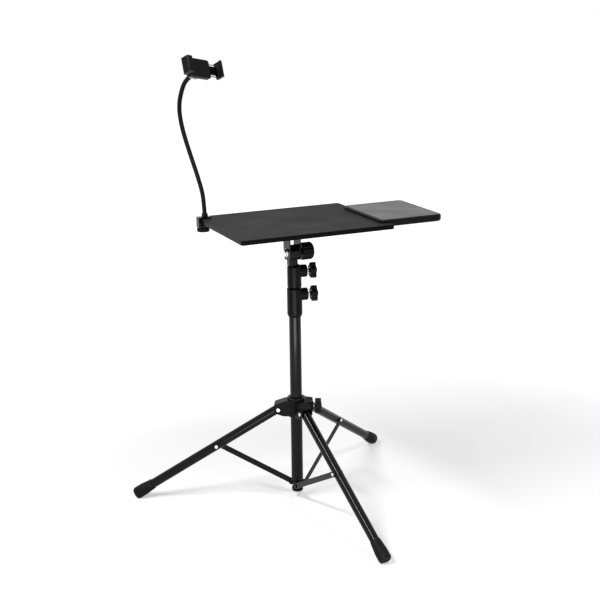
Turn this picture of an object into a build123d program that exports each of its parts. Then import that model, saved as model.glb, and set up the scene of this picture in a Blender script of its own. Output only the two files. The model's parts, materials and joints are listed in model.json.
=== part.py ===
from build123d import *
import math
import os

# Laptop table on a folding tripod, in millimetres, +Z up.
# The origin is on the floor, on the axis of the column. The tray is long in X and deep in Y.

# Column tubes
lower_tube_od = 29.0
lower_tube_wall = 1.2
lower_tube_length = 462.4
middle_tube_od = 25.8
middle_tube_wall = 1.3
middle_tube_length = 382.0
middle_tube_in_collar = 25.0
inner_post_od = 22.4
inner_post_wall = 1.4
post_above_middle = 20.0
glide_length = 9.0
glide_lip = 3.0
glide_wall = 2.5
glide_edge = 0.5

# Clearances
running_gap = 0.05
slide_gap = 0.1
free_gap = 0.3
# How far a cutter runs past the face it opens
overrun = 1.0

# Tripod
leg_azimuths = (154.7, 274.7, 34.7)
leg_open_angle = 57.9
leg_tube_od = 22.8
leg_tube_wall = 1.2
leg_length = 428.85
leg_above_pivot = 5.0
leg_rivet_distance = 184.0
hub_pivot_radius = 44.0
brace_length = 210.85
brace_width = 14.0
brace_thickness = 2.5
brace_beside_leg = 0.4
brace_edge = 0.4
plug_pivot_radius = 15.5
foot_length = 52.0
foot_mouth_radius = 12.5
foot_radius = 15.3
foot_end_radius = 13.2
foot_flare = 28.0
foot_bevel = 4.0
foot_floor = 8.0
foot_flat_depth = 2.0
foot_edge = 0.8
pin_radius = 2.5
pin_head_radius = 4.2
pin_head_height = 1.9
dome_share = 0.6
open_pin_play = 1.2
open_side_play = 0.8
open_pin_head_radius = 5.2

# Bottom plug
plug_below_pivot = 18.5
plug_base_radius = 14.0
plug_base_height = 10.5
plug_base_edge = 2.0
plug_core_radius = 10.5
plug_ring_height = 3.0
plug_spigot_length = 18.0
tube_above_plug_pivot = 12.5
lug_thickness = 7.0
lug_radius = 6.2

# Hub
hub_sleeve_radius = 22.0
hub_sleeve_height = 49.5
hub_sleeve_below_pivot = 19.0
hub_sleeve_edge = 1.5
hub_bore_play = 1.0
cheek_thickness = 3.2
hub_web = 3.2
hub_slot_inset = 1.0
hub_arm_edge = 3.0
hub_pin_radius = 3.0
hub_pin_head_radius = 4.9
hub_pin_head_height = 2.2
hub_boss_radius = 11.5
hub_boss_reach = 42.5
hub_knob_radius_from_axis = 46.3
hub_lock_above_pivot = 6.0
hub_lock_azimuth = -25.3
# Side view of an arm: distance from the column's axis, height above the leg's pivot
hub_arm_root_top = (0.0, 25.0)
hub_arm_shoulder = (28.5, 22.5)
hub_arm_nose = (53.0, 14.0)
hub_arm_front = ((55.5, 6.0), (54.5, -2.0), (47.0, -11.0), (32.0, -16.0), (0.0, -17.0))

# Collars and lock knobs
lower_collar_radius = 18.4
lower_collar_height = 72.0
lower_collar_grip = 39.0
lower_screw_above_tube = 15.3
upper_collar_radius = 17.2
upper_collar_height = 53.0
upper_screw_height = 37.8
collar_spacing = 2.0
collar_boss_radius = 15.2
lower_boss_reach = 31.8
upper_boss_reach = 30.2
lower_knob_reach = 39.6
upper_knob_reach = 37.2
column_lock_azimuth = -12.0
# Bevels of the collars' rims: across, then along the column
lower_collar_foot_bevel = (2.8, 6.5)
lower_collar_top_bevel = (2.5, 2.5)
upper_collar_foot_bevel = (1.0, 1.0)
upper_collar_top_bevel = (4.0, 3.0)
lock_screw_radius = 3.0
knob_radius = 19.5
knob_thickness = 15.0
knob_lobes = 5
knob_lobe_radius = 6.5
knob_edge = 2.0
lobe_root_share = 0.2
lobe_blend_share = 0.4
knob_neck_radius = 5.5
knob_neck_length = 2.5
knob_pocket_radius = 4.0
knob_pocket_depth = 7.0
knob_screw_depth = 9.0
knob_cap_radius = 8.5
knob_cap_height = 1.2
boss_edge = 2.5
lock_screw_edge = 0.8

# Tilt head
post_above_collar = 0.5
bolt_above_post = 31.0
tilt_head_shift = -4.5
barrel_radius = 18.5
barrel_neck_depth = 22.0
barrel_neck_corner = 5.0
barrel_edge = 0.7
barrel_spigot = 26.0
barrel_skirt_radius = 12.8
barrel_skirt_top_radius = 9.0
barrel_skirt_height = 3.5
ear_spacing = 24.0
ear_width = 37.0
ear_below_bolt = 17.5
ear_corner = 12.0
bracket_steel = 2.5
bracket_plate_length = 100.0
bracket_plate_depth = 60.0
bracket_plate_corner = 8.0
tray_above_bolt = 65.5
bracket_screw_inset = 11.0
bracket_screw_radius = 2.0
bracket_screw_head_radius = 4.2
bracket_screw_head_height = 2.4
bracket_screw_depth = 7.0
tilt_bolt_radius = 5.0
tilt_head_across_flats = 17.0
tilt_head_height = 5.6
crown_base_share = 0.66
crown_top_share = 0.46
bolt_end_play = 1.0
washer_radius = 10.5
washer_thickness = 1.7
tilt_knob_radius = 21.0
tilt_knob_thickness = 29.0
tilt_knob_crown = 6.0
tilt_knob_neck = 5.5
tilt_knob_neck_radius = 8.0
tilt_knob_flutes = 12
tilt_knob_flute_radius = 3.2
tilt_knob_flute_depth = 1.6
tilt_knob_bore_depth = 16.0

# Laptop tray
tray_length = 380.0
tray_depth = 300.0
tray_thickness = 11.0
tray_corner = 6.0
trim_thickness = 1.2
trim_edge = 0.8

# Mouse tray
mouse_length = 164.0
mouse_depth = 207.0
mouse_thickness = 17.5
mouse_rise = 8.0
mouse_overlap = 24.0
mouse_centre_y = -27.5
mouse_corner = 14.0
mouse_top_edge = 4.5
mouse_bottom_edge = 6.5
mat_inset = 6.0
mat_recess = 2.0
mat_thickness = 1.8
mat_corner = 8.0
mat_edge = 0.5
clip_width = 30.0
clip_steel = 2.0
clip_corner = 4.0
clip_under_tray = 16.0
clip_under_mouse = 30.0
clip_spacing = 105.0
clip_screw_inset = 12.0
clip_screw_radius = 1.6
clip_screw_head_radius = 3.4
clip_screw_head_height = 1.8
clip_screw_depth = 9.0
clip_screw_spacing = 16.0

# Clamp
clamp_y = 120.0
clamp_width = 18.0
clamp_top_steel = 5.0
clamp_spine = 6.5
clamp_arm_length = 31.0
clamp_throat_below = 5.0
clamp_bottom_steel = 5.5
clamp_corner = 2.0
clamp_screw_inset = 7.0
clamp_screw_radius = 3.0
clamp_pad_radius = 6.5
clamp_pad_thickness = 4.4
clamp_pad_socket = 2.0
clamp_pad_edge = 0.8
clamp_disc_radius = 15.2
clamp_disc_thickness = 8.5
clamp_disc_notches = 16
clamp_disc_notch = 1.2
clamp_disc_notch_offset = 0.6
clamp_disc_edge = 1.5
clamp_disc_bore_share = 0.75

# Gooseneck: its route is given as steps from the foot of the neck, chosen by hand, one group for each
# rigid span. A bend lies halfway between the last step of a group and the first of the next.
neck_inset = 11.6
neck_radius = 5.25
neck_socket_radius = 7.4
neck_socket_height = 9.0
neck_socket_depth = 6.0
neck_socket_edge = 1.5
neck_span_steps = (
    ((0.0, 0.0, 0.0), (-1.2, -1.3, 34.0)),
    ((-7.6, -2.8, 72.0),),
    ((-46.0, -7.5, 192.0), (-55.4, -9.2, 240.0)),
    (
        (-55.8, -10.5, 268.0),
        (-52.1, -11.4, 287.0),
        (-45.8, -12.4, 307.5),
        (-38.1, -14.4, 321.5),
        (-30.8, -20.5, 328.5),
    ),
)
bend_gap = 0.35
bend_share = 0.45

# Ball joint and phone holder
ball_radius = 7.0
ball_stud_radius = 3.3
ball_stud_length = 14.0
stud_spigot_radius = 2.5
stud_spigot_length = 7.0
stud_flange_height = 2.0
stud_flange_inset = 0.5
ball_reach = 36.0
socket_radius = 10.0
socket_past_ball = 3.0
socket_flare = 5.0
nut_wall = 4.2
nut_height = 8.0
nut_notches = 12
nut_notch = 0.8
nut_notch_offset = 0.3
nut_edge = 0.8
holder_turn = 25.8
holder_lean = -24.2
holder_roll = 11.8
grip_width = 84.0
jaw_height = 38.0
left_jaw_wall = 11.5
right_jaw_wall = 6.5
jaw_front = 7.0
jaw_back = 14.0
jaw_corner = 3.0
jaw_lip = 3.0
jaw_lip_thickness = 2.2
pad_thickness = 1.5
pad_half_depth = 4.6
pad_inset = 2.0
pad_corner = 2.0
housing_front = 6.0
housing_thickness = 11.0
housing_right = 22.0
housing_height = 44.0
housing_corner = 6.0
housing_edge = 1.0
tongue_height = 20.0
tongue_thickness = 4.0
tongue_engaged = 24.0
tongue_pocket = 54.0
rod_radius = 1.5
rod_engaged = 30.0
rod_pocket = 62.0
rod_end_cover = 2.0
rod_offset = 14.5

upward = (Align.CENTER, Align.CENTER, Align.MIN)


def unit(azimuth):
    """Horizontal unit vector at an azimuth in degrees."""
    angle = math.radians(azimuth)
    return math.cos(angle), math.sin(angle)


# Heights worked out from the sizes above
open_sine = math.sin(math.radians(leg_open_angle))
open_cosine = math.cos(math.radians(leg_open_angle))
hub_pivot_z = leg_length * open_cosine + foot_end_radius * open_sine - foot_flat_depth
leg_rivet_radius = hub_pivot_radius + leg_rivet_distance * open_sine
leg_rivet_z = hub_pivot_z - leg_rivet_distance * open_cosine
brace_reach = leg_rivet_radius - plug_pivot_radius
plug_pivot_z = leg_rivet_z - math.sqrt(brace_length ** 2 - brace_reach ** 2)
plug_bottom_z = plug_pivot_z - plug_below_pivot
lower_tube_bottom_z = plug_pivot_z + tube_above_plug_pivot
lower_tube_top_z = lower_tube_bottom_z + lower_tube_length
lower_collar_bottom_z = lower_tube_top_z - lower_collar_grip
lower_collar_top_z = lower_collar_bottom_z + lower_collar_height
lower_screw_z = lower_tube_top_z + lower_screw_above_tube
upper_collar_bottom_z = lower_collar_top_z + collar_spacing
upper_collar_top_z = upper_collar_bottom_z + upper_collar_height
upper_screw_z = upper_collar_bottom_z + upper_screw_height
middle_tube_top_z = upper_collar_bottom_z + middle_tube_in_collar
middle_tube_bottom_z = middle_tube_top_z - middle_tube_length
post_bottom_z = middle_tube_bottom_z + post_above_middle
post_top_z = upper_collar_top_z + post_above_collar
tilt_z = post_top_z + bolt_above_post
tray_bottom_z = tilt_z + tray_above_bolt
tray_top_z = tray_bottom_z + tray_thickness
mouse_top_z = tray_top_z + mouse_rise
hub_bottom_z = hub_pivot_z - hub_sleeve_below_pivot
hub_lock_z = hub_pivot_z + hub_lock_above_pivot

lower_tube_radius = lower_tube_od / 2
middle_tube_radius = middle_tube_od / 2
inner_post_radius = inner_post_od / 2
leg_tube_radius = leg_tube_od / 2
brace_inner_face = leg_tube_radius + brace_beside_leg
brace_outer_face = brace_inner_face + brace_thickness
cheek_inner_face = leg_tube_radius + free_gap
cheek_outer_face = cheek_inner_face + cheek_thickness
tray_edge_x = tray_length / 2
beyond = 2 * leg_length


def rod(start, end, radius):
    """Round bar from one point to another."""
    run = Vector(*end) - Vector(*start)
    return Plane(origin=start, z_dir=run) * Cylinder(radius, run.length, align=upward)


def pipe(radius, wall, low, high):
    """Upright round tube on the column's axis."""
    bore = Cylinder(radius - wall, high - low, align=upward)
    return Pos(0, 0, low) * (Cylinder(radius, high - low, align=upward) - bore)


def leg_frame(azimuth):
    """Frame with x outward along a leg, y across it and z up."""
    east, north = unit(azimuth)
    return Plane(origin=(0, 0, 0), x_dir=(east, north, 0), z_dir=(0, 0, 1))


def radial_frame(azimuth, radius, height):
    """Frame on the column with z pointing outward and x up."""
    east, north = unit(azimuth)
    origin = (radius * east, radius * north, height)
    return Plane(origin=origin, x_dir=(0, 0, 1), z_dir=(east, north, 0))


def side_plate(outline, face, thickness):
    """Plate in a leg frame, lying beside the leg on its clockwise side."""
    plane = Plane(origin=(0, -face, 0), x_dir=(1, 0, 0), z_dir=(0, -1, 0))
    return extrude(plane * outline, thickness)


def dome_head(radius, height):
    """Low domed rivet head standing on its own seat."""
    head = Cylinder(radius, height, align=upward)
    return fillet(head.edges().sort_by(Axis.Z)[-1], height * dome_share)


def cross_bore(x, z, radius):
    """Cutter for a pin hole right across a leg frame."""
    return rod((x, -hub_pivot_radius, z), (x, hub_pivot_radius, z), radius)


def cross_pin(x, z, radius, low_face, high_face, head_radius, head_height):
    """Rivet across a leg frame, with a head outside each face."""
    shaft = rod((x, low_face, z), (x, high_face, z), radius)
    head = dome_head(head_radius, head_height)
    low_head = Plane(origin=(x, low_face, z), z_dir=(0, -1, 0)) * head
    high_head = Plane(origin=(x, high_face, z), z_dir=(0, 1, 0)) * head
    return shaft + low_head + high_head


def knob_cap():
    """Low round cap on the outer face of a knob."""
    cap = Cylinder(knob_cap_radius, knob_cap_height, align=upward)
    return fillet(cap.edges().sort_by(Axis.Z)[-1], knob_cap_height / 2)


def lobed_grip():
    """Lobed grip of a lock knob, its back face at the frame's origin, with a pocket in each lobe."""
    lobe_centre = knob_radius - knob_lobe_radius
    outline = Circle(lobe_centre + knob_lobe_radius * lobe_root_share)
    for spot in PolarLocations(lobe_centre, knob_lobes):
        outline += spot * Circle(knob_lobe_radius)
    outline = fillet(outline.vertices(), knob_lobe_radius * lobe_blend_share)
    grip = extrude(outline, knob_thickness)
    rims = grip.edges().group_by(Axis.Z)
    grip = fillet(rims[-1] + rims[0], knob_edge)
    for spot in PolarLocations(lobe_centre, knob_lobes):
        grip -= spot * Cylinder(knob_pocket_radius, knob_pocket_depth, align=upward)
    return grip


def fluted_grip():
    """Round fluted grip of the tilt knob with a rounded outer end."""
    grip = Cylinder(tilt_knob_radius, tilt_knob_thickness, align=upward)
    grip = fillet(grip.edges().sort_by(Axis.Z)[-1], tilt_knob_crown)
    grip = fillet(grip.edges().sort_by(Axis.Z)[0], knob_edge)
    flute_centre = tilt_knob_radius + tilt_knob_flute_radius - tilt_knob_flute_depth
    for spot in PolarLocations(flute_centre, tilt_knob_flutes):
        grip -= spot * Cylinder(tilt_knob_flute_radius, tilt_knob_thickness, align=upward)
    return grip


def knob(grip, thickness, neck_radius, neck_length, bore_radius, bore_depth):
    """Hand knob: its grip with a cap outside, and a neck and a blind bore behind."""
    body = grip + Pos(0, 0, thickness) * knob_cap()
    body += Pos(0, 0, -neck_length) * Cylinder(neck_radius, neck_length + knob_cap_height, align=upward)
    bore = Cylinder(bore_radius, neck_length + bore_depth, align=upward)
    return body - Pos(0, 0, -neck_length) * bore


# Column
def make_lower_tube():
    return pipe(lower_tube_radius, lower_tube_wall, lower_tube_bottom_z, lower_tube_top_z)


def plug_lug():
    """Ear of the bottom plug that carries one brace, in a leg frame."""
    outer_face = brace_inner_face - open_side_play
    web = Rectangle(plug_pivot_radius, 2 * lug_radius, align=(Align.MAX, Align.CENTER))
    outline = Pos(plug_pivot_radius, plug_pivot_z) * (Circle(lug_radius) + web)
    lug = side_plate(outline, outer_face - lug_thickness, lug_thickness)
    start = (plug_pivot_radius, 0, plug_pivot_z)
    return lug - rod(start, (plug_pivot_radius, -outer_face, plug_pivot_z), pin_radius)


def make_bottom_plug():
    base = Cylinder(plug_base_radius, plug_base_height, align=upward)
    base = fillet(base.edges(), plug_base_edge)
    ring = Cylinder(plug_base_radius, plug_ring_height, align=(Align.CENTER, Align.CENTER, Align.MAX))
    spigot = Cylinder(lower_tube_radius - lower_tube_wall, plug_spigot_length, align=upward)
    body = Pos(0, 0, plug_bottom_z) * base
    body += Pos(0, 0, lower_tube_bottom_z) * (ring + spigot)
    body += pipe(plug_core_radius, plug_core_radius / 2, plug_bottom_z, lower_tube_bottom_z)
    for azimuth in leg_azimuths:
        body += leg_frame(azimuth) * plug_lug()
    return body


def make_plug_rivets():
    inner_face = brace_inner_face - open_side_play - lug_thickness
    outer_face = brace_outer_face + open_side_play
    rivets = []
    for azimuth in leg_azimuths:
        seat = (plug_pivot_radius, -outer_face, plug_pivot_z)
        rivet = rod((plug_pivot_radius, -inner_face, plug_pivot_z), seat, pin_radius)
        outer = Plane(origin=seat, z_dir=(0, -1, 0))
        rivet += outer * dome_head(open_pin_head_radius, pin_head_height)
        rivets.append(leg_frame(azimuth) * rivet)
    return Compound(children=rivets)


def collar_shell(radius, low, high, foot_bevel, top_bevel):
    """Round outside of a clamp collar, bevelled at both rims."""
    foot_in, foot_up = foot_bevel
    top_in, top_down = top_bevel
    profile = Polyline(
        (0, low),
        (radius - foot_in, low),
        (radius, low + foot_up),
        (radius, high - top_down),
        (radius - top_in, high),
        (0, high),
        close=True,
    )
    return revolve(Plane.XZ * make_face(profile), Axis.Z)


def collar(shell, low, fixed_radius, moving_radius, step, boss_reach, screw_z):
    """Moulded clamp collar: fixed on one tube, sliding on the next, with a screw boss."""
    boss = Cylinder(collar_boss_radius, boss_reach, align=upward)
    boss = fillet(boss.edges().sort_by(Axis.Z)[-1], boss_edge)
    body = shell + radial_frame(column_lock_azimuth, 0, screw_z) * boss
    body -= Pos(0, 0, low) * Cylinder(fixed_radius, step - low, align=upward)
    body -= Pos(0, 0, low) * Cylinder(moving_radius + slide_gap, 2 * lower_collar_height, align=upward)
    hole = Cylinder(lock_screw_radius + running_gap, boss_reach + overrun, align=upward)
    return body - radial_frame(column_lock_azimuth, 0, screw_z) * hole


def make_lower_collar():
    shell = collar_shell(lower_collar_radius, lower_collar_bottom_z, lower_collar_top_z,
                         lower_collar_foot_bevel, lower_collar_top_bevel)
    return collar(shell, lower_collar_bottom_z, lower_tube_radius, middle_tube_radius, lower_tube_top_z,
                  lower_boss_reach, lower_screw_z)


def make_upper_collar():
    shell = collar_shell(upper_collar_radius, upper_collar_bottom_z, upper_collar_top_z,
                         upper_collar_foot_bevel, upper_collar_top_bevel)
    return collar(shell, upper_collar_bottom_z, middle_tube_radius, inner_post_radius, middle_tube_top_z,
                  upper_boss_reach, upper_screw_z)


def lock_screw(azimuth, height, tip_radius, knob_reach):
    """Plain-shanked stand-in for a threaded lock screw, moulded into its knob."""
    screw = Cylinder(lock_screw_radius, knob_reach + knob_screw_depth - tip_radius, align=upward)
    screw = chamfer(screw.edges().sort_by(Axis.Z)[0], lock_screw_edge)
    return radial_frame(azimuth, tip_radius, height) * screw


def lock_knob(azimuth, height, knob_reach):
    """Five-lobed lock knob on its screw."""
    body = knob(lobed_grip(), knob_thickness, knob_neck_radius, knob_neck_length, lock_screw_radius,
                knob_screw_depth)
    return radial_frame(azimuth, knob_reach, height) * body


def make_middle_tube():
    return pipe(middle_tube_radius, middle_tube_wall, middle_tube_bottom_z, middle_tube_top_z)


def glide(tube_radius, tube_wall, guide_radius, tube_bottom):
    """Plastic glide: a spigot in the tube's lower end and a lip that runs in the tube outside it."""
    lip = Cylinder(guide_radius - slide_gap, glide_lip, align=upward)
    lip = chamfer(lip.edges(), glide_edge)
    spigot = Pos(0, 0, glide_lip) * Cylinder(tube_radius - tube_wall, glide_length, align=upward)
    core = Cylinder(tube_radius - tube_wall - glide_wall, glide_lip + glide_length, align=upward)
    return Pos(0, 0, tube_bottom - glide_lip) * (lip + spigot - core)


def make_middle_glide():
    return glide(middle_tube_radius, middle_tube_wall, lower_tube_radius - lower_tube_wall,
                 middle_tube_bottom_z)


def make_inner_post():
    return pipe(inner_post_radius, inner_post_wall, post_bottom_z, post_top_z)


def make_post_glide():
    guide_radius = middle_tube_radius - middle_tube_wall
    return glide(inner_post_radius, inner_post_wall, guide_radius, post_bottom_z)


# Tilt head
def cross_rod(start, end, radius):
    """Round bar along the tilt bolt, from one distance from the head's middle to another."""
    return rod((tilt_head_shift + start, 0, tilt_z), (tilt_head_shift + end, 0, tilt_z), radius)


def make_tilt_barrel():
    half = ear_spacing / 2 - free_gap
    barrel = fillet(cross_rod(-half, half, barrel_radius).edges(), barrel_edge)
    neck = RectangleRounded(2 * (half - barrel_edge), barrel_neck_depth, barrel_neck_corner)
    barrel += Pos(tilt_head_shift, 0, post_top_z) * extrude(neck, bolt_above_post)
    skirt = Cone(barrel_skirt_radius, barrel_skirt_top_radius, barrel_skirt_height, align=upward)
    barrel += Pos(0, 0, post_top_z) * skirt
    spigot = Cylinder(inner_post_radius - inner_post_wall, barrel_spigot, align=upward)
    barrel += Pos(0, 0, post_top_z - barrel_spigot) * spigot
    return barrel - cross_rod(-ear_spacing, ear_spacing, tilt_bolt_radius + running_gap)


def bracket_screw_spots():
    along = bracket_plate_length / 2 - bracket_screw_inset
    across = bracket_plate_depth / 2 - bracket_screw_inset
    return [(x, y) for x in (-along, along) for y in (-across, across)]


def make_tilt_bracket():
    plate = RectangleRounded(bracket_plate_length, bracket_plate_depth, bracket_plate_corner)
    body = Pos(0, 0, tray_bottom_z - bracket_steel) * extrude(plate, bracket_steel)
    ear_height = ear_below_bolt + tray_above_bolt - bracket_steel
    ear = Rectangle(ear_width, ear_height, align=(Align.CENTER, Align.MIN))
    outline = Pos(0, -ear_below_bolt) * ear
    outline = fillet(outline.vertices().group_by(Axis.Y)[0], ear_corner)
    for side in (-1, 1):
        inner = tilt_head_shift + side * ear_spacing / 2
        plane = Plane(origin=(inner, 0, tilt_z), x_dir=(0, side, 0), z_dir=(side, 0, 0))
        body += extrude(plane * outline, bracket_steel)
    body -= cross_rod(-ear_spacing, ear_spacing, tilt_bolt_radius)
    for x, y in bracket_screw_spots():
        start = (x, y, tray_bottom_z - 2 * bracket_steel)
        body -= rod(start, (x, y, tray_bottom_z), bracket_screw_radius)
    return body


def pan_screw(x, y, seat_z, radius, length, head_radius, head_height):
    """Screw driven upward, with its domed head under the seat."""
    head = Plane(origin=(x, y, seat_z), z_dir=(0, 0, -1)) * dome_head(head_radius, head_height)
    return head + rod((x, y, seat_z), (x, y, seat_z + length), radius)


def make_tilt_bracket_screws():
    seat_z = tray_bottom_z - bracket_steel
    length = bracket_steel + bracket_screw_depth
    screws = [pan_screw(x, y, seat_z, bracket_screw_radius, length, bracket_screw_head_radius,
                        bracket_screw_head_height) for x, y in bracket_screw_spots()]
    return Compound(children=screws)


washer_outer = ear_spacing / 2 + bracket_steel + washer_thickness
tilt_knob_back = washer_outer + slide_gap + tilt_knob_neck
tilt_knob_x = tilt_head_shift + tilt_knob_back


def make_tilt_bolt():
    shank_end = tilt_knob_back + tilt_knob_bore_depth - bolt_end_play
    shank = cross_rod(-washer_outer, shank_end, tilt_bolt_radius)
    seat = Plane(origin=(tilt_head_shift - washer_outer, 0, tilt_z), x_dir=(0, 0, 1), z_dir=(-1, 0, 0))
    head = extrude(RegularPolygon(tilt_head_across_flats / 2, 6, major_radius=False), tilt_head_height)
    crown = Cone(tilt_head_across_flats * crown_base_share, tilt_head_across_flats * crown_top_share,
                 tilt_head_height, align=upward)
    return shank + seat * (head & crown)


def make_tilt_washers():
    washers = []
    for side in (-1, 1):
        near = side * (washer_outer - washer_thickness)
        far = side * washer_outer
        washers.append(cross_rod(near, far, washer_radius) - cross_rod(near, far, tilt_bolt_radius))
    return Compound(children=washers)


def make_tilt_knob():
    body = knob(fluted_grip(), tilt_knob_thickness, tilt_knob_neck_radius, tilt_knob_neck,
                tilt_bolt_radius + running_gap, tilt_knob_bore_depth)
    return Plane(origin=(tilt_knob_x, 0, tilt_z), x_dir=(0, 0, 1), z_dir=(1, 0, 0)) * body


# Hub
def hub_arm(azimuth):
    """One forked arm of the hub with a web over the leg."""
    corners = (hub_arm_root_top, hub_arm_shoulder, hub_arm_nose, *hub_arm_front)
    outer = make_face(Polyline(*corners, close=True))
    outline = fillet(outer.vertices().filter_by(lambda v: v.X > hub_slot_inset), hub_arm_edge)
    arm = extrude(Plane.XZ * outline, cheek_outer_face, both=True)
    return leg_frame(azimuth) * Pos(0, 0, hub_pivot_z) * arm


def hub_slot(azimuth):
    """Room for a leg between the cheeks, below the web and outside the sleeve."""
    inner = hub_sleeve_radius + hub_slot_inset
    nose_x, nose_z = hub_arm_nose
    shoulder_x, shoulder_z = hub_arm_shoulder
    room = make_face(Polyline(
        (inner, -hub_sleeve_height),
        (2 * nose_x, -hub_sleeve_height),
        (2 * nose_x, nose_z - hub_web),
        (nose_x, nose_z - hub_web),
        (shoulder_x, shoulder_z - hub_web),
        (inner, shoulder_z - hub_web),
        close=True,
    ))
    slot = extrude(Plane.XZ * room, cheek_inner_face, both=True)
    slot += cross_bore(hub_pivot_radius, 0, hub_pin_radius)
    return leg_frame(azimuth) * Pos(0, 0, hub_pivot_z) * slot


def make_hub():
    sleeve = Cylinder(hub_sleeve_radius, hub_sleeve_height, align=upward)
    sleeve = chamfer(sleeve.edges(), hub_sleeve_edge)
    body = Pos(0, 0, hub_bottom_z) * sleeve
    for azimuth in leg_azimuths:
        body += hub_arm(azimuth)
    boss = Cylinder(hub_boss_radius, hub_boss_reach, align=upward)
    boss = fillet(boss.edges().sort_by(Axis.Z)[-1], boss_edge)
    body += radial_frame(hub_lock_azimuth, 0, hub_lock_z) * boss
    for azimuth in leg_azimuths:
        body -= hub_slot(azimuth)
    bore = Cylinder(lower_tube_radius + hub_bore_play, 2 * hub_sleeve_height, align=upward)
    body -= Pos(0, 0, hub_bottom_z - hub_sleeve_height / 2) * bore
    hole = Cylinder(lock_screw_radius + running_gap, hub_boss_reach + overrun, align=upward)
    return body - radial_frame(hub_lock_azimuth, 0, hub_lock_z) * hole


def make_hub_rivets():
    rivets = []
    for azimuth in leg_azimuths:
        rivet = cross_pin(hub_pivot_radius, hub_pivot_z, hub_pin_radius, -cheek_outer_face,
                          cheek_outer_face, hub_pin_head_radius, hub_pin_head_height)
        rivets.append(leg_frame(azimuth) * rivet)
    return Compound(children=rivets)


# Legs, feet and braces, each built in its own leg frame
def along_leg(distance):
    """Point on the leg's axis, measured from the hub pivot."""
    return hub_pivot_radius + distance * open_sine, 0, hub_pivot_z - distance * open_cosine


def leg_plane(distance):
    """Plane square to the leg, with z running down it."""
    return Plane(origin=along_leg(distance), x_dir=(0, 1, 0), z_dir=(open_sine, 0, -open_cosine))


def make_leg(azimuth):
    length = leg_above_pivot + leg_length - foot_floor
    start = leg_plane(-leg_above_pivot)
    tube = start * Cylinder(leg_tube_radius, length, align=upward)
    tube -= start * Cylinder(leg_tube_radius - leg_tube_wall, length, align=upward)
    tube -= cross_bore(hub_pivot_radius, hub_pivot_z, hub_pin_radius + running_gap)
    tube -= cross_bore(leg_rivet_radius, leg_rivet_z, pin_radius)
    return leg_frame(azimuth) * tube


def make_foot(azimuth):
    profile = Polyline(
        (0, 0),
        (foot_mouth_radius, 0),
        (foot_radius, foot_flare),
        (foot_radius, foot_length - foot_bevel),
        (foot_end_radius, foot_length),
        (0, foot_length),
        close=True,
    )
    body = revolve(Plane.XZ * make_face(profile), Axis.Z)
    body = fillet(body.edges().sort_by(Axis.Z)[-1], foot_edge)
    body -= Cylinder(leg_tube_radius, foot_length - foot_floor, align=upward)
    body = leg_plane(leg_length - foot_length) * body
    below = Box(beyond, beyond, foot_length, align=(Align.CENTER, Align.CENTER, Align.MAX))
    return leg_frame(azimuth) * (body - below)


def make_leg_rivet(azimuth):
    rivet = cross_pin(leg_rivet_radius, leg_rivet_z, pin_radius, -brace_outer_face - free_gap,
                      leg_tube_radius, pin_head_radius, pin_head_height)
    return leg_frame(azimuth) * rivet


def make_brace(azimuth, plug_hole_radius):
    middle_x = (leg_rivet_radius + plug_pivot_radius) / 2
    middle_z = (leg_rivet_z + plug_pivot_z) / 2
    slope = math.degrees(math.atan2(leg_rivet_z - plug_pivot_z, brace_reach))
    outline = Pos(middle_x, middle_z) * Rot(0, 0, slope) * SlotCenterToCenter(brace_length, brace_width)
    bar = side_plate(outline, brace_inner_face, brace_thickness)
    bar = chamfer(bar.edges().filter_by(GeomType.LINE).filter_by(Axis.Y, reverse=True), brace_edge)
    bar -= cross_bore(plug_pivot_radius, plug_pivot_z, plug_hole_radius)
    bar -= cross_bore(leg_rivet_radius, leg_rivet_z, pin_radius + running_gap)
    return leg_frame(azimuth) * bar


# Laptop tray
def make_tray_board():
    outline = RectangleRounded(tray_length - 2 * trim_thickness, tray_depth - 2 * trim_thickness,
                               tray_corner - trim_thickness)
    board = Pos(0, 0, tray_bottom_z) * extrude(outline, tray_thickness)
    for x, y in bracket_screw_spots():
        end = (x, y, tray_bottom_z + bracket_screw_depth)
        board -= rod((x, y, tray_bottom_z), end, bracket_screw_radius)
    return board


def make_tray_edge_trim():
    outer = extrude(RectangleRounded(tray_length, tray_depth, tray_corner), tray_thickness)
    rims = outer.edges().group_by(Axis.Z)
    outer = fillet(rims[-1] + rims[0], trim_edge)
    inner = RectangleRounded(tray_length - 2 * trim_thickness, tray_depth - 2 * trim_thickness,
                             tray_corner - trim_thickness)
    return Pos(0, 0, tray_bottom_z) * (outer - extrude(inner, tray_thickness))


# Mouse tray, beside the laptop tray's right edge
mouse_left_x = tray_edge_x - mouse_overlap
mouse_centre_x = mouse_left_x + mouse_length / 2
mouse_bottom_z = mouse_top_z - mouse_thickness
clip_hook_top_z = tray_bottom_z - free_gap
clip_seat_z = mouse_bottom_z - clip_steel
clip_screw_x = tray_edge_x + clip_under_mouse - clip_screw_inset


def clip_ys():
    return [mouse_centre_y - clip_spacing / 2, mouse_centre_y + clip_spacing / 2]


def clip_screw_spots():
    half = clip_screw_spacing / 2
    return [(clip_screw_x, y + step) for y in clip_ys() for step in (-half, half)]


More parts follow.
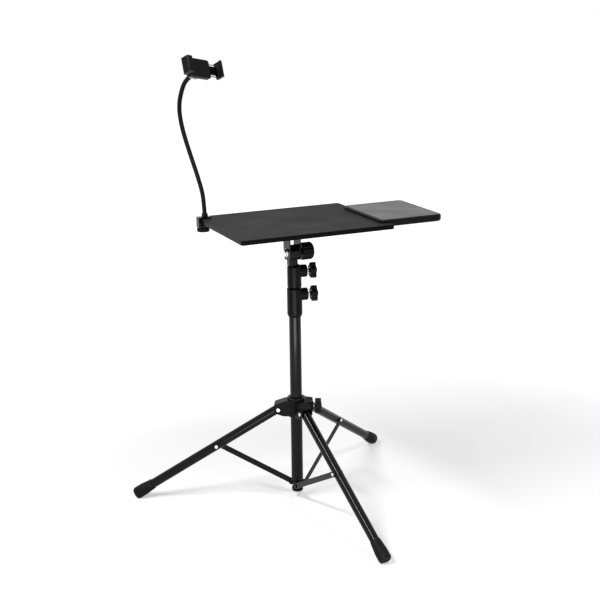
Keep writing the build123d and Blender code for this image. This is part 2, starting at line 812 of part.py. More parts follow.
def make_mouse_tray():
    slab = extrude(RectangleRounded(mouse_length, mouse_depth, mouse_corner), mouse_thickness)
    slab = fillet(slab.edges().group_by(Axis.Z)[-1], mouse_top_edge)
    slab = fillet(slab.edges().group_by(Axis.Z)[0], mouse_bottom_edge)
    body = Pos(mouse_centre_x, mouse_centre_y, mouse_bottom_z) * slab
    over = Box(mouse_overlap + free_gap + overrun, 2 * mouse_depth, 2 * mouse_thickness,
               align=(Align.MIN, Align.CENTER, Align.MAX))
    body -= Pos(mouse_left_x - overrun, mouse_centre_y, tray_top_z + free_gap) * over
    recess = RectangleRounded(mouse_length - 2 * mat_inset, mouse_depth - 2 * mat_inset, mat_corner)
    body -= Pos(mouse_centre_x, mouse_centre_y, mouse_top_z - mat_recess) * extrude(recess, mat_recess)
    for x, y in clip_screw_spots():
        end = (x, y, mouse_bottom_z + clip_screw_depth)
        body -= rod((x, y, mouse_bottom_z), end, clip_screw_radius)
    return body


def make_mouse_tray_mat():
    gap = 2 * slide_gap
    outline = RectangleRounded(mouse_length - 2 * mat_inset - gap, mouse_depth - 2 * mat_inset - gap,
                               mat_corner - slide_gap)
    mat = extrude(outline, mat_thickness)
    mat = fillet(mat.edges().group_by(Axis.Z)[-1], mat_edge)
    return Pos(mouse_centre_x, mouse_centre_y, mouse_top_z - mat_recess) * mat


def make_mouse_clips():
    wall_x = tray_edge_x + 2 * free_gap
    profile = make_face(Polyline(
        (tray_edge_x - clip_under_tray, clip_hook_top_z - clip_steel),
        (wall_x + clip_steel, clip_hook_top_z - clip_steel),
        (wall_x + clip_steel, clip_seat_z),
        (tray_edge_x + clip_under_mouse, clip_seat_z),
        (tray_edge_x + clip_under_mouse, mouse_bottom_z),
        (wall_x, mouse_bottom_z),
        (wall_x, clip_hook_top_z),
        (tray_edge_x - clip_under_tray, clip_hook_top_z),
        close=True,
    ))
    clips = []
    for y in clip_ys():
        plane = Plane(origin=(0, y, 0), x_dir=(1, 0, 0), z_dir=(0, -1, 0))
        clip = extrude(plane * profile, clip_width / 2, both=True)
        clip = fillet(clip.edges().filter_by(Axis.Z).group_by(Axis.X)[-1], clip_corner)
        for x, screw_y in clip_screw_spots():
            start = (x, screw_y, clip_seat_z - overrun)
            clip -= rod(start, (x, screw_y, mouse_bottom_z + overrun), clip_screw_radius)
        clips.append(clip)
    return Compound(children=clips)


def make_mouse_clip_screws():
    length = clip_steel + clip_screw_depth
    screws = [pan_screw(x, y, clip_seat_z, clip_screw_radius, length, clip_screw_head_radius,
                        clip_screw_head_height) for x, y in clip_screw_spots()]
    return Compound(children=screws)


# Clamp on the laptop tray's left edge
clamp_outer_x = -tray_edge_x - free_gap - clamp_spine
clamp_top_z = tray_top_z + clamp_top_steel
clamp_arm_top_z = tray_bottom_z - clamp_throat_below
clamp_bottom_z = clamp_arm_top_z - clamp_bottom_steel
clamp_screw_x = -tray_edge_x + clamp_screw_inset


def make_clamp_frame():
    inner_x = -tray_edge_x - free_gap
    outline = make_face(Polyline(
        (clamp_outer_x, clamp_bottom_z),
        (clamp_outer_x + clamp_arm_length, clamp_bottom_z),
        (clamp_outer_x + clamp_arm_length, clamp_arm_top_z),
        (inner_x, clamp_arm_top_z),
        (inner_x, tray_top_z),
        (clamp_outer_x + clamp_arm_length, tray_top_z),
        (clamp_outer_x + clamp_arm_length, clamp_top_z),
        (clamp_outer_x, clamp_top_z),
        close=True,
    ))
    corners = outline.vertices().filter_by(
        lambda v: v.X < inner_x - free_gap or v.X > inner_x + clamp_corner)
    outline = fillet(corners, clamp_corner)
    plane = Plane(origin=(0, clamp_y, 0), x_dir=(1, 0, 0), z_dir=(0, -1, 0))
    body = extrude(plane * outline, clamp_width / 2, both=True)
    start = (clamp_screw_x, clamp_y, clamp_bottom_z - overrun)
    end = (clamp_screw_x, clamp_y, clamp_arm_top_z + overrun)
    return body - rod(start, end, clamp_screw_radius + running_gap)


def make_clamp_pad():
    low = tray_bottom_z - clamp_pad_thickness
    pad = Cylinder(clamp_pad_radius, clamp_pad_thickness, align=upward)
    pad = chamfer(pad.edges().group_by(Axis.Z)[0], clamp_pad_edge)
    pad -= Cylinder(clamp_screw_radius + slide_gap, clamp_pad_socket, align=upward)
    return Pos(clamp_screw_x, clamp_y, low) * pad


def make_clamp_screw():
    low = clamp_bottom_z - free_gap - clamp_disc_thickness * clamp_disc_bore_share
    high = tray_bottom_z - clamp_pad_thickness + clamp_pad_socket - slide_gap
    return rod((clamp_screw_x, clamp_y, low), (clamp_screw_x, clamp_y, high), clamp_screw_radius)


def make_clamp_disc():
    disc = Cylinder(clamp_disc_radius, clamp_disc_thickness, align=upward)
    disc = fillet(disc.edges(), clamp_disc_edge)
    for spot in PolarLocations(clamp_disc_radius + clamp_disc_notch_offset, clamp_disc_notches):
        disc -= spot * Cylinder(clamp_disc_notch, clamp_disc_thickness, align=upward)
    bore = Cylinder(clamp_screw_radius, clamp_disc_thickness * clamp_disc_bore_share, align=upward)
    disc -= Pos(0, 0, clamp_disc_thickness * (1 - clamp_disc_bore_share)) * bore
    return Pos(clamp_screw_x, clamp_y, clamp_bottom_z - free_gap - clamp_disc_thickness) * disc


# Gooseneck
neck_foot_z = clamp_top_z + neck_socket_height - neck_socket_depth
neck_foot = Vector(-tray_edge_x + neck_inset, clamp_y, neck_foot_z)
neck_points = [neck_foot + Vector(*step) for steps in neck_span_steps for step in steps]
steps_so_far = [len(sum(neck_span_steps[:count], ())) for count in range(1, len(neck_span_steps))]
bend_runs = [count - 1 for count in steps_so_far]
neck_bends = [(neck_points[run] + neck_points[run + 1]) / 2 for run in bend_runs]


def corner_radius(before, corner, after):
    """Largest smooth bend at a corner of the neck's route."""
    first = corner - before
    second = after - corner
    half_turn = math.radians(first.get_angle(second)) / 2
    return bend_share * min(first.length, second.length) / math.tan(half_turn)


neck_radii = [corner_radius(*neck_points[i - 1:i + 2]) for i in range(1, len(neck_points) - 1)]


def neck_span(index):
    """One rigid span of the gooseneck, with a ball nose above and a cup below."""
    first = 0 if index == 0 else bend_runs[index - 1] + 1
    last = len(neck_points) - 1 if index == len(bend_runs) else bend_runs[index] + 1
    corners = neck_points[max(first, 1):min(last, len(neck_points) - 1)]
    radii = neck_radii[max(first, 1) - 1:min(last, len(neck_points) - 1) - 1]
    start = neck_points[0] if index == 0 else neck_bends[index - 1]
    end = neck_points[-1] if index == len(bend_runs) else neck_bends[index]
    path = FilletPolyline(start, *corners, end, radius=radii)
    section = Plane(origin=start, z_dir=corners[0] - start) * Circle(neck_radius)
    span = sweep(section, path=path)
    if index < len(bend_runs):
        span += Pos(*end) * Sphere(neck_radius)
    if index > 0:
        span -= Pos(*start) * Sphere(neck_radius + bend_gap)
    return span


def make_neck_socket():
    body = Cylinder(neck_socket_radius, neck_socket_height, align=upward)
    body = chamfer(body.edges().group_by(Axis.Z)[-1], neck_socket_edge)
    toward = neck_points[1] - neck_points[0]
    bore = Cylinder(neck_radius, toward.length, align=upward)
    bore = Plane(origin=neck_points[0], z_dir=toward) * bore
    return Pos(-tray_edge_x + neck_inset, clamp_y, clamp_top_z) * body - bore


# Ball joint between the gooseneck and the phone holder
neck_end = neck_points[-1]
neck_end_direction = (neck_points[-1] - neck_points[-2]).normalized()
ball_centre = neck_end + neck_end_direction * ball_stud_length
holder_facing = Rot(0, 0, holder_turn) * Rot(holder_lean, 0, 0) * Rot(0, holder_roll, 0)
holder_frame = Pos(*ball_centre) * holder_facing * Pos(0, -ball_reach, 0) * Plane.XZ.location


def make_last_span():
    bore_start = neck_end - neck_end_direction * (stud_spigot_length + free_gap)
    return neck_span(len(bend_runs)) - rod(tuple(bore_start), tuple(neck_end + neck_end_direction),
                                           stud_spigot_radius + running_gap)


def make_ball_stud():
    seat = neck_end + neck_end_direction * free_gap
    spigot_start = neck_end - neck_end_direction * stud_spigot_length
    flange_end = seat + neck_end_direction * stud_flange_height
    stud = rod(tuple(spigot_start), tuple(seat), stud_spigot_radius)
    stud += rod(tuple(seat), tuple(flange_end), neck_radius - stud_flange_inset)
    stud += rod(tuple(seat), tuple(ball_centre), ball_stud_radius)
    return stud + Pos(*ball_centre) * Sphere(ball_radius)


# Phone holder, built in its own frame: x across the grip, y up, z to the user, ball behind
jaw_x = grip_width / 2 + pad_thickness
housing_left = -jaw_x
housing_back = -(housing_front + housing_thickness)
tongue_z = -(housing_front + housing_thickness / 2)
socket_end = -(ball_reach + socket_past_ball)
rod_end_x = jaw_x + right_jaw_wall - rod_end_cover


def make_holder_back():
    width = housing_right - housing_left
    plate = extrude(RectangleRounded(width, housing_height, housing_corner), housing_thickness)
    plate = fillet(plate.edges().group_by(Axis.Z)[-1], housing_edge)
    body = Pos(housing_left + width / 2, 0, housing_back) * plate
    body += Pos(0, 0, socket_end) * Cylinder(socket_radius, housing_back - socket_end, align=upward)
    flare = Cone(socket_radius, socket_radius + socket_flare, socket_flare, align=upward)
    body += Pos(0, 0, housing_back - socket_flare) * flare
    body -= Pos(0, 0, -ball_reach) * Sphere(ball_radius + free_gap)
    pocket = Box(tongue_pocket, tongue_height + 2 * slide_gap, tongue_thickness + 2 * slide_gap,
                 align=(Align.MAX, Align.CENTER, Align.CENTER))
    body -= Pos(housing_right, 0, tongue_z) * pocket
    for side in (-1, 1):
        start = (housing_right - rod_pocket, side * rod_offset, tongue_z)
        end = (housing_right + overrun, side * rod_offset, tongue_z)
        body -= rod(start, end, rod_radius + running_gap)
    return holder_frame * body


def jaw(side, wall):
    """Jaw with a hooked front lip, standing outside the grip on one side."""
    outline = make_face(Polyline(
        (jaw_x, -jaw_back),
        (jaw_x + wall, -jaw_back),
        (jaw_x + wall, jaw_front + jaw_lip_thickness),
        (jaw_x - jaw_lip, jaw_front + jaw_lip_thickness),
        (jaw_x - jaw_lip, jaw_front),
        (jaw_x, jaw_front),
        close=True,
    ))
    outline = fillet(outline.vertices().filter_by(lambda v: v.X > jaw_x + wall / 2), jaw_corner)
    plane = Plane(origin=(0, 0, 0), x_dir=(side, 0, 0), z_dir=(0, -side, 0))
    return extrude(plane * outline, jaw_height / 2, both=True)


def make_left_jaw():
    return holder_frame * jaw(-1, left_jaw_wall)


def make_right_jaw():
    body = jaw(1, right_jaw_wall)
    reach = jaw_x - housing_right + tongue_engaged
    tongue = Box(reach, tongue_height, tongue_thickness, align=(Align.MIN, Align.CENTER, Align.CENTER))
    body += Pos(housing_right - tongue_engaged, 0, tongue_z) * tongue
    for side in (-1, 1):
        start = (jaw_x, side * rod_offset, tongue_z)
        end = (rod_end_x, side * rod_offset, tongue_z)
        body -= rod(start, end, rod_radius)
    return holder_frame * body


def make_jaw_rods():
    rods = []
    for side in (-1, 1):
        start = (housing_right - rod_engaged, side * rod_offset, tongue_z)
        end = (rod_end_x, side * rod_offset, tongue_z)
        rods.append(holder_frame * rod(start, end, rod_radius))
    return Compound(children=rods)


def make_jaw_pad(side):
    outline = RectangleRounded(jaw_height - 2 * pad_inset, 2 * pad_half_depth, pad_corner)
    jaw_face = Plane(origin=(side * jaw_x, 0, 0), x_dir=(0, 1, 0), z_dir=(-side, 0, 0))
    pad = extrude(jaw_face * outline, pad_thickness)
    return holder_frame * pad


def make_ball_nut():
    nut = Cylinder(socket_radius + nut_wall, nut_height, align=upward)
    nut = chamfer(nut.edges(), nut_edge)
    for spot in PolarLocations(socket_radius + nut_wall + nut_notch_offset, nut_notches):
        nut -= spot * Cylinder(nut_notch, nut_height, align=upward)
    nut -= Cylinder(socket_radius + slide_gap, nut_height, align=upward)
    return holder_frame * Pos(0, 0, socket_end) * nut


parts = {
    "lower_tube": make_lower_tube(),
    "bottom_plug": make_bottom_plug(),
    "plug_rivets": make_plug_rivets(),
    "lower_collar": make_lower_collar(),
    "lower_lock_knob": lock_knob(column_lock_azimuth, lower_screw_z, lower_knob_reach),
    "lower_lock_screw": lock_screw(column_lock_azimuth, lower_screw_z, middle_tube_radius + free_gap,
                                   lower_knob_reach),
    "middle_tube": make_middle_tube(),
    "middle_glide": make_middle_glide(),
    "upper_collar": make_upper_collar(),
    "upper_lock_knob": lock_knob(column_lock_azimuth, upper_screw_z, upper_knob_reach),
    "upper_lock_screw": lock_screw(column_lock_azimuth, upper_screw_z, inner_post_radius + free_gap,
                                   upper_knob_reach),
    "inner_post": make_inner_post(),
    "post_glide": make_post_glide(),
    "tilt_barrel": make_tilt_barrel(),
    "tilt_bracket": make_tilt_bracket(),
    "tilt_bracket_screws": make_tilt_bracket_screws(),
    "tilt_bolt": make_tilt_bolt(),
    "tilt_washers": make_tilt_washers(),
    "tilt_knob": make_tilt_knob(),
    "hub": make_hub(),
    "hub_rivets": make_hub_rivets(),
    "hub_lock_knob": lock_knob(hub_lock_azimuth, hub_lock_z, hub_knob_radius_from_axis),
    "hub_lock_screw": lock_screw(hub_lock_azimuth, hub_lock_z, lower_tube_radius + hub_bore_play,
                                 hub_knob_radius_from_axis),
    "tray_board": make_tray_board(),
    "tray_edge_trim": make_tray_edge_trim(),
    "mouse_tray": make_mouse_tray(),
    "mouse_tray_mat": make_mouse_tray_mat(),
    "mouse_clips": make_mouse_clips(),
    "mouse_clip_screws": make_mouse_clip_screws(),
    "clamp_frame": make_clamp_frame(),
    "clamp_screw": make_clamp_screw(),
    "clamp_disc": make_clamp_disc(),
    "clamp_pad": make_clamp_pad(),
    "neck_socket": make_neck_socket(),
    "neck_span_4": make_last_span(),
    "ball_stud": make_ball_stud(),
    "ball_nut": make_ball_nut(),
    "holder_back": make_holder_back(),
    "left_jaw": make_left_jaw(),
    "left_jaw_pad": make_jaw_pad(-1),
    "right_jaw": make_right_jaw(),
    "right_jaw_pad": make_jaw_pad(1),
    "jaw_rods": make_jaw_rods(),
}
for number in range(len(bend_runs)):
    parts[f"neck_span_{number + 1}"] = neck_span(number)
for number, leg_azimuth in enumerate(leg_azimuths, start=1):
    hole_play = running_gap if number == 1 else open_pin_play
    parts[f"leg_{number}"] = make_leg(leg_azimuth)
    parts[f"foot_{number}"] = make_foot(leg_azimuth)
    parts[f"leg_rivet_{number}"] = make_leg_rivet(leg_azimuth)
    parts[f"brace_{number}"] = make_brace(leg_azimuth, pin_radius + hole_play)

os.makedirs("parts", exist_ok=True)
for name, shape in parts.items():
    export_step(shape, f"parts/{name}.step")
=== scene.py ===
"""Looks of the laptop table: materials, gooseneck, floor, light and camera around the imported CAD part."""
import json
import math

import bmesh
import bpy
from mathutils import Matrix, Vector


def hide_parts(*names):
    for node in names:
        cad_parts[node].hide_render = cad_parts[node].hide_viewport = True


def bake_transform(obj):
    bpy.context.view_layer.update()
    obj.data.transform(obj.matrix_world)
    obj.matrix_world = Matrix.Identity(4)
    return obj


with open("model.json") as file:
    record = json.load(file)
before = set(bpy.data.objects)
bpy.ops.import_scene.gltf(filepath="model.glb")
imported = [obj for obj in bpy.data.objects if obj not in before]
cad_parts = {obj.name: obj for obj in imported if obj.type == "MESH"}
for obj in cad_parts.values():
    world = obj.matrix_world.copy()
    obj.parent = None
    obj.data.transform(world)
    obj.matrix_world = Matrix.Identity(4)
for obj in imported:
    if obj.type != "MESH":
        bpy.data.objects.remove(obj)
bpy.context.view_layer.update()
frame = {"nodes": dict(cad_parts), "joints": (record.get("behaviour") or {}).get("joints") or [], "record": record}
nodes = frame["nodes"]
joints = {joint["name"]: joint for joint in frame["joints"]}


# Shader nodes used by materials, floor and world
def spread(tree, value, start, end, low=0.0, high=1.0):
    """value from low to high, spread over start to end."""
    made = tree.nodes.new("ShaderNodeMapRange")
    made.inputs["From Min"].default_value = low
    made.inputs["From Max"].default_value = high
    made.inputs["To Min"].default_value = start
    made.inputs["To Max"].default_value = end
    tree.links.new(value, made.inputs["Value"])
    return made.outputs["Result"]


def combine(tree, operation, first, second):
    """Two values joined by one maths operation."""
    made = tree.nodes.new("ShaderNodeMath")
    made.operation = operation
    tree.links.new(first, made.inputs[0])
    tree.links.new(second, made.inputs[1])
    return made.outputs[0]


# Materials
# Most values of a noise lie between these two
noise_low = 0.3
noise_high = 0.7


class Paint:
    """A procedural material, built from short calls around one Principled shader."""

    def __init__(self, name, roughness, ior=1.45, metallic=0.0):
        self.material = bpy.data.materials.new(name)
        self.material.use_nodes = True
        self.tree = self.material.node_tree
        self.shader = self.tree.nodes["Principled BSDF"]
        self.shader.inputs["Roughness"].default_value = roughness
        self.shader.inputs["IOR"].default_value = ior
        self.shader.inputs["Metallic"].default_value = metallic
        self.place = self.tree.nodes.new("ShaderNodeTexCoord").outputs["Object"]
        self.height = None

    def link(self, output, target):
        self.tree.links.new(output, target)

    def noise(self, scale, detail=2.0, stretch=(1, 1, 1), rough=0.5):
        """Noise in the surface's own coordinates, stretched per axis."""
        mapping = self.tree.nodes.new("ShaderNodeMapping")
        mapping.inputs["Scale"].default_value = stretch
        self.link(self.place, mapping.inputs["Vector"])
        made = self.tree.nodes.new("ShaderNodeTexNoise")
        made.inputs["Scale"].default_value = scale
        made.inputs["Detail"].default_value = detail
        made.inputs["Roughness"].default_value = rough
        self.link(mapping.outputs["Vector"], made.inputs["Vector"])
        return made.outputs["Fac"]

    def cells(self, scale):
        """Distance to the nearest of many scattered points."""
        made = self.tree.nodes.new("ShaderNodeTexVoronoi")
        made.inputs["Scale"].default_value = scale
        self.link(self.place, made.inputs["Vector"])
        return made.outputs["Distance"]

    def mask(self, value, low, high, end=1):
        """0 where value is below low, rising to end where it is above high."""
        return spread(self.tree, value, start=0, end=end, low=low, high=high)

    def mix(self, value):
        """Mix of two colours by value, which becomes the base colour."""
        made = self.tree.nodes.new("ShaderNodeMix")
        made.data_type = "RGBA"
        self.link(value, made.inputs["Factor"])
        self.link(made.outputs["Result"], self.shader.inputs["Base Color"])
        return made

    def colours(self, value, dark, light):
        """Base colour between two tones by value."""
        made = self.mix(value)
        made.inputs["A"].default_value = (*dark, 1)
        made.inputs["B"].default_value = (*light, 1)
        return made

    def worn(self, base, value, tone):
        """Lays a third tone over the base colour where value is high."""
        made = self.mix(value)
        self.link(base.outputs["Result"], made.inputs["A"])
        made.inputs["B"].default_value = (*tone, 1)

    def edges(self):
        """High on outward edges, broken up so that wear isn't even."""
        point = self.tree.nodes.new("ShaderNodeNewGeometry").outputs["Pointiness"]
        edge = self.mask(point, low=0.75, high=0.9)
        patches = self.mask(self.noise(scale=90, detail=4), low=0.45, high=0.62)
        return combine(self.tree, "MULTIPLY", edge, patches)

    def roughen(self, value, low, high):
        """Roughness between two levels by value."""
        rough = spread(self.tree, value, start=low, end=high, low=noise_low, high=noise_high)
        self.link(rough, self.shader.inputs["Roughness"])

    def bump(self, value, distance):
        """Adds a bump layer over the ones already there, distance in metres."""
        made = self.tree.nodes.new("ShaderNodeBump")
        made.inputs["Strength"].default_value = 1.0
        made.inputs["Distance"].default_value = distance
        self.link(value, made.inputs["Height"])
        if self.height is not None:
            self.link(self.height, made.inputs["Normal"])
        self.height = made.outputs["Normal"]
        self.link(self.height, self.shader.inputs["Normal"])


def powder_coat():
    """Gloss black powder coat: slight orange peel, cloudy gloss, thin wear on edges."""
    paint = Paint("powder_coat", roughness=0.08, ior=1.25)
    clouds = paint.noise(scale=14, detail=3)
    base = paint.colours(clouds, dark=(0.0018, 0.0018, 0.002), light=(0.0042, 0.0042, 0.0045))
    paint.worn(base, paint.edges(), tone=(0.03, 0.03, 0.032))
    paint.roughen(paint.noise(scale=30, detail=3), low=0.06, high=0.1)
    paint.bump(paint.noise(scale=400, detail=2), distance=0.000005)
    return paint.material


def moulded_black():
    """Injection-moulded nylon: satin, with a faint grain and flow marks."""
    paint = Paint("moulded_black", roughness=0.26, ior=1.17)
    flow = paint.noise(scale=30, detail=4, stretch=(1, 1, 0.3))
    base = paint.colours(flow, dark=(0.0018, 0.0018, 0.0021), light=(0.005, 0.005, 0.0055))
    paint.worn(base, paint.edges(), tone=(0.03, 0.03, 0.031))
    paint.roughen(paint.noise(scale=40, detail=3), low=0.2, high=0.32)
    paint.bump(paint.noise(scale=1100, detail=3), distance=0.00003)
    paint.bump(paint.noise(scale=35, detail=1), distance=0.00012)
    return paint.material


def knob_plastic():
    """Spark-textured knob plastic, worn lighter on its edges."""
    paint = Paint("knob_plastic", roughness=0.36, ior=1.2)
    specks = paint.noise(scale=120, detail=4)
    base = paint.colours(specks, dark=(0.002, 0.002, 0.0022), light=(0.006, 0.006, 0.0065))
    paint.worn(base, paint.edges(), tone=(0.035, 0.035, 0.036))
    paint.roughen(paint.noise(scale=50, detail=3), low=0.3, high=0.46)
    paint.bump(paint.cells(scale=1500), distance=0.00006)
    paint.bump(paint.noise(scale=2100, detail=2), distance=0.00003)
    return paint.material


def bright_zinc():
    """Bright zinc plate: bluish, cloudy, with fine drawn marks."""
    paint = Paint("bright_zinc", roughness=0.28, metallic=1.0)
    clouds = paint.noise(scale=160, detail=4)
    base = paint.colours(clouds, dark=(0.62, 0.63, 0.65), light=(0.8, 0.81, 0.83))
    dull = paint.mask(paint.noise(scale=420, detail=3), low=0.58, high=0.75, end=0.4)
    paint.worn(base, dull, tone=(0.42, 0.43, 0.46))
    paint.roughen(paint.noise(scale=300, detail=3), low=0.2, high=0.36)
    paint.bump(paint.noise(scale=1400, detail=2, stretch=(1, 1, 0.15)), distance=0.00003)
    return paint.material


def rubber():
    """Matt black rubber with a dusty bloom."""
    paint = Paint("rubber", roughness=0.55, ior=1.17)
    clouds = paint.noise(scale=25, detail=5)
    base = paint.colours(clouds, dark=(0.003, 0.003, 0.0033), light=(0.007, 0.007, 0.0075))
    dust = paint.mask(paint.noise(scale=70, detail=5), low=0.55, high=0.8, end=0.4)
    paint.worn(base, dust, tone=(0.02, 0.02, 0.02))
    paint.roughen(paint.noise(scale=40, detail=3), low=0.45, high=0.62)
    paint.bump(paint.noise(scale=1300, detail=3), distance=0.00006)
    return paint.material


def neck_sleeve():
    """Smooth black sleeve, faintly blotched."""
    paint = Paint("neck_sleeve", roughness=0.34, ior=1.19)
    clouds = paint.noise(scale=60, detail=4)
    base = paint.colours(clouds, dark=(0.0018, 0.0018, 0.002), light=(0.005, 0.005, 0.0053))
    rubs = paint.mask(paint.noise(scale=30, detail=5), low=0.6, high=0.85, end=0.3)
    paint.worn(base, rubs, tone=(0.015, 0.015, 0.016))
    paint.roughen(paint.noise(scale=80, detail=3), low=0.28, high=0.4)
    paint.bump(paint.noise(scale=700, detail=2), distance=0.00004)
    return paint.material


def laminate():
    """Black laminate on the laptop tray: fine pores drawn out along X, faint rub marks."""
    paint = Paint("tray_laminate", roughness=0.5, ior=1.06)
    grain = paint.noise(scale=900, detail=4, stretch=(0.05, 1, 1), rough=0.65)
    base = paint.colours(grain, dark=(0.016, 0.016, 0.0165), light=(0.03, 0.03, 0.031))
    rubs = paint.mask(paint.noise(scale=18, detail=6, stretch=(0.4, 1, 1)), low=0.6, high=0.8, end=0.25)
    paint.worn(base, rubs, tone=(0.042, 0.042, 0.043))
    paint.roughen(paint.noise(scale=12, detail=4), low=0.4, high=0.52)
    paint.bump(grain, distance=0.00004)
    paint.bump(paint.cells(scale=1100), distance=0.00003)
    return paint.material


def edge_band():
    """Extruded edge band: smooth and glossier than the board, lightly ribbed along the edge."""
    paint = Paint("edge_band", roughness=0.26, ior=1.12)
    clouds = paint.noise(scale=40, detail=3)
    base = paint.colours(clouds, dark=(0.002, 0.002, 0.0023), light=(0.005, 0.005, 0.0053))
    paint.worn(base, paint.edges(), tone=(0.025, 0.025, 0.026))
    paint.roughen(paint.noise(scale=30, detail=3), low=0.22, high=0.32)
    paint.bump(paint.noise(scale=300, detail=2, stretch=(0.15, 0.15, 1)), distance=0.00003)
    return paint.material


def mouse_foil():
    """Black foil wrapped over the mouse tray's rounded rim."""
    paint = Paint("mouse_foil", roughness=0.28, ior=1.19)
    clouds = paint.noise(scale=50, detail=4)
    base = paint.colours(clouds, dark=(0.002, 0.002, 0.0023), light=(0.005, 0.005, 0.0053))
    rubs = paint.mask(paint.noise(scale=26, detail=5), low=0.62, high=0.85, end=0.25)
    paint.worn(base, rubs, tone=(0.015, 0.015, 0.016))
    paint.roughen(paint.noise(scale=25, detail=3), low=0.24, high=0.34)
    paint.bump(paint.noise(scale=650, detail=2), distance=0.00003)
    return paint.material


def mouse_mat():
    """Grey grained mat: fine pebble with satin tips."""
    paint = Paint("mouse_mat", roughness=0.42, ior=1.5)
    pebble = paint.cells(scale=900)
    base = paint.colours(pebble, dark=(0.02, 0.02, 0.022), light=(0.042, 0.042, 0.045))
    rubs = paint.mask(paint.noise(scale=9, detail=4), low=0.5, high=0.8, end=0.5)
    paint.worn(base, rubs, tone=(0.06, 0.06, 0.063))
    paint.roughen(paint.noise(scale=14, detail=4), low=0.36, high=0.48)
    paint.bump(pebble, distance=0.00008)
    paint.bump(paint.noise(scale=2200, detail=2), distance=0.00003)
    return paint.material


def grey_nut():
    """Light grey moulded ring nut."""
    paint = Paint("nut_grey", roughness=0.42, ior=1.45)
    clouds = paint.noise(scale=90, detail=4)
    base = paint.colours(clouds, dark=(0.46, 0.46, 0.47), light=(0.56, 0.56, 0.57))
    dirt = paint.mask(paint.noise(scale=240, detail=4), low=0.6, high=0.85, end=0.5)
    paint.worn(base, dirt, tone=(0.36, 0.36, 0.36))
    paint.roughen(paint.noise(scale=120, detail=3), low=0.36, high=0.5)
    paint.bump(paint.noise(scale=1300, detail=3), distance=0.00004)
    return paint.material


finishes = {
    "tube_paint": powder_coat(),
    "moulded_black": moulded_black(),
    "knob_plastic": knob_plastic(),
    "zinc": bright_zinc(),
    "rubber": rubber(),
    "neck_sleeve": neck_sleeve(),
    "tray_laminate": laminate(),
    "edge_band": edge_band(),
    "mouse_board": mouse_foil(),
    "mouse_mat": mouse_mat(),
    "nut_grey": grey_nut(),
}


def paint_node(name, slot_name):
    """Gives every material slot of a CAD node one finish."""
    thing = nodes[name]
    if not thing.material_slots:
        thing.data.materials.append(finishes[slot_name])
    for slot in thing.material_slots:
        slot.material = finishes[slot_name]


for row in frame["record"]["subparts"]:
    paint_node(row["node"], row["material_slot"])


def piece(name, mesh, slot_name):
    """A new object of the scene, with its finish."""
    made = bpy.data.objects.new(name, mesh)
    bpy.context.scene.collection.objects.link(made)
    mesh.materials.append(finishes[slot_name])
    for polygon in mesh.polygons:
        polygon.use_smooth = True
    return made


# Gooseneck: three seamless sleeves, each bending across one joint.
# The route repeats the CAD part's, as steps in millimetres from the foot of the neck.
neck_foot = Vector((-0.1784, 0.12, 0.7159))
neck_steps = (
    (0.0, 0.0, 0.0),
    (-1.2, -1.3, 34.0),
    (-7.6, -2.8, 72.0),
    (-46.0, -7.5, 192.0),
    (-55.4, -9.2, 240.0),
    (-55.8, -10.5, 268.0),
    (-52.1, -11.4, 287.0),
    (-45.8, -12.4, 307.5),
    (-38.1, -14.4, 321.5),
    (-30.8, -20.5, 328.5),
)
millimetre = 0.001
neck_radius = 0.00525
neck_sides = 28
samples_per_corner = 16


def bezier(a, b, c, t):
    """Point at t on a curve from a to c, drawn towards b."""
    return a * (1 - t) ** 2 + b * 2 * t * (1 - t) + c * t ** 2


def smooth_line(points):
    """Smooth curve inside the corners of a route, through the middles of its inner runs."""
    line = [points[0]]
    for i in range(1, len(points) - 1):
        start = points[0] if i == 1 else (points[i - 1] + points[i]) / 2
        end = points[-1] if i == len(points) - 2 else (points[i] + points[i + 1]) / 2
        for k in range(1, samples_per_corner + 1):
            line.append(bezier(start, points[i], end, k / samples_per_corner))
    return line


def tube_mesh(name, line, radius, sides):
    """Round tube along a line, closed at both ends."""
    bm = bmesh.new()
    rings = []
    side = Vector((0, 1, 0))
    for i, centre in enumerate(line):
        along = (line[min(i + 1, len(line) - 1)] - line[max(i - 1, 0)]).normalized()
        side = (side - along * side.dot(along)).normalized()
        other = along.cross(side)
        turns = [2 * math.pi * k / sides for k in range(sides)]
        spokes = [(side * math.cos(turn) + other * math.sin(turn)) * radius for turn in turns]
        rings.append([bm.verts.new(centre + spoke) for spoke in spokes])
    for low, high in zip(rings, rings[1:]):
        for k in range(sides):
            bm.faces.new((low[k], low[(k + 1) % sides], high[(k + 1) % sides], high[k]))
    bm.faces.new(list(reversed(rings[0])))
    bm.faces.new(rings[-1])
    mesh = bpy.data.meshes.new(name)
    bm.to_mesh(mesh)
    bm.free()
    return mesh


neck_line = smooth_line([neck_foot + Vector(step) * millimetre for step in neck_steps])


def nearest(point):
    """Index of the neck's sample that is closest to a point."""
    return min(range(len(neck_line)), key=lambda i: (neck_line[i] - point).length)


def neck_piece(name, first, last, replaced):
    """One sleeve from sample first to last, bending over reach at a joint."""
    made = piece(name, tube_mesh(name, neck_line[first:last + 1], neck_radius, neck_sides), "neck_sleeve")
    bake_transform(made)
    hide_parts(*replaced)


bend_at = [nearest(Vector(joints[f"neck_bend_{k}"]["pos_m"])) for k in (1, 2, 3)]
cut_low = (bend_at[0] + bend_at[1]) // 2
cut_high = (bend_at[1] + bend_at[2]) // 2
neck_piece("neck_lower_sleeve", 0, cut_low,
           ["neck_span_1", "neck_span_2"])
neck_piece("neck_middle_sleeve", cut_low, cut_high,
           ["neck_span_3"])
neck_piece("neck_upper_sleeve", cut_high, len(neck_line) - 1,
           ["neck_span_4"])


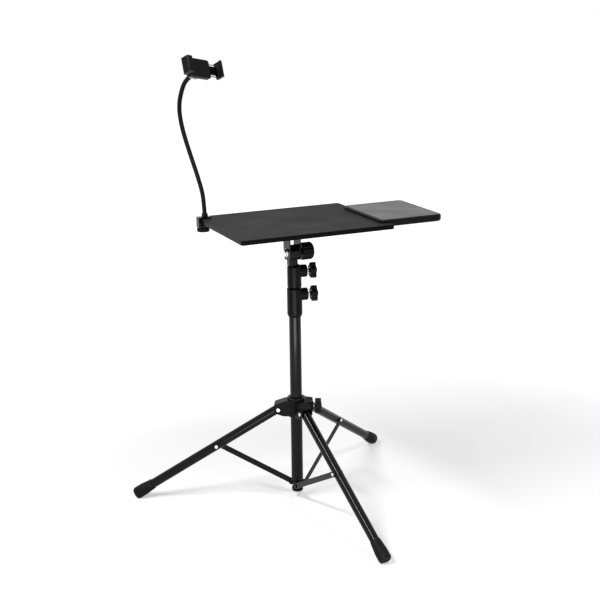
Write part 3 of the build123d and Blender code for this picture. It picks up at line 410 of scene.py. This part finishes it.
# Floor, light and camera, in metres, watts and degrees
floor_half_width = 9.0
floor_grey = 0.62
floor_roughness = 0.9
floor_glow = 0.46
fade_near = 0.5
fade_far = 2.4
world_level = 0.2
sensor_width_mm = 36.0


def shows_background(tree):
    """1 for rays that show the background: camera, glossy and transmission rays."""
    path = tree.nodes.new("ShaderNodeLightPath").outputs
    direct = combine(tree, "MAXIMUM", path["Is Camera Ray"], path["Is Glossy Ray"])
    return combine(tree, "MAXIMUM", direct, path["Is Transmission Ray"])


def light_world():
    """White world, dim as a light and plain white where a ray shows the background."""
    world = bpy.data.worlds.new("studio")
    bpy.context.scene.world = world
    world.use_nodes = True
    tree = world.node_tree
    background = tree.nodes["Background"]
    background.inputs["Color"].default_value = (1, 1, 1, 1)
    strength = spread(tree, shows_background(tree), start=world_level, end=1.0)
    tree.links.new(strength, background.inputs["Strength"])


def floor_material():
    """Pale matt floor with a glow for background rays, stronger away from the object."""
    material = bpy.data.materials.new("floor")
    material.use_nodes = True
    tree = material.node_tree
    shader = tree.nodes["Principled BSDF"]
    shader.inputs["Base Color"].default_value = (floor_grey, floor_grey, floor_grey, 1)
    shader.inputs["Roughness"].default_value = floor_roughness
    shader.inputs["Specular IOR Level"].default_value = 0.0
    shader.inputs["Emission Color"].default_value = (1, 1, 1, 1)
    away = tree.nodes.new("ShaderNodeVectorMath")
    away.operation = "LENGTH"
    tree.links.new(tree.nodes.new("ShaderNodeNewGeometry").outputs["Position"], away.inputs[0])
    glow = spread(tree, away.outputs["Value"], start=floor_glow, end=1.0, low=fade_near, high=fade_far)
    shown = combine(tree, "MULTIPLY", shows_background(tree), glow)
    tree.links.new(shown, shader.inputs["Emission Strength"])
    return material


def lay_floor():
    """Floor that keeps the shadow near the object and fades to plain white away from it."""
    half = floor_half_width
    corners = [(-half, -half, 0), (half, -half, 0), (half, half, 0), (-half, half, 0)]
    mesh = bpy.data.meshes.new("floor")
    mesh.from_pydata(corners, [], [(0, 1, 2, 3)])
    mesh.materials.append(floor_material())
    floor = bpy.data.objects.new("floor", mesh)
    bpy.context.scene.collection.objects.link(floor)


def softbox(name, position, target, width, height, power):
    """Rectangular lamp aimed at a target."""
    data = bpy.data.lights.new(name, "AREA")
    data.shape = "RECTANGLE"
    data.size = width
    data.size_y = height
    data.energy = power
    lamp = bpy.data.objects.new(name, data)
    bpy.context.scene.collection.objects.link(lamp)
    lamp.location = position
    lamp.rotation_euler = (Vector(target) - Vector(position)).to_track_quat("-Z", "Y").to_euler()


def set_camera(azimuth, elevation, roll, lens, distance, target):
    """Camera at a distance from its target, seen from azimuth and elevation, turned by roll."""
    a, e, r = (math.radians(v) for v in (azimuth, elevation, roll))
    level = Vector((math.cos(a), math.sin(a), 0))
    back = Vector((math.sin(a) * math.cos(e), -math.cos(a) * math.cos(e), math.sin(e)))
    upright = back.cross(level)
    right = level * math.cos(r) + upright * math.sin(r)
    up = upright * math.cos(r) - level * math.sin(r)
    data = bpy.data.cameras.new("camera")
    data.lens = lens
    data.sensor_width = sensor_width_mm
    camera = bpy.data.objects.new("camera", data)
    bpy.context.scene.collection.objects.link(camera)
    turn = Matrix((right, up, back)).transposed().to_4x4()
    camera.matrix_world = Matrix.Translation(Vector(target) + back * distance) @ turn
    bpy.context.scene.camera = camera


light_world()
lay_floor()
softbox("key", position=(0.55, -1.0, 2.4), target=(0, 0, 0.3), width=0.4, height=0.4, power=15)
softbox("left_strip", position=(-1.5, -0.25, 2.3), target=(0, 0, 0.3), width=1.5, height=0.2, power=54)
softbox("front_low", position=(-0.5, -1.05, 0.14), target=(0, 0, 0.14), width=1.0, height=0.26, power=7)
set_camera(azimuth=-24.0, elevation=15.6, roll=-0.8, lens=70.44, distance=2.8255,
           target=(0.014, 0, 0.5116))
bpy.context.scene.view_settings.view_transform = "Standard"
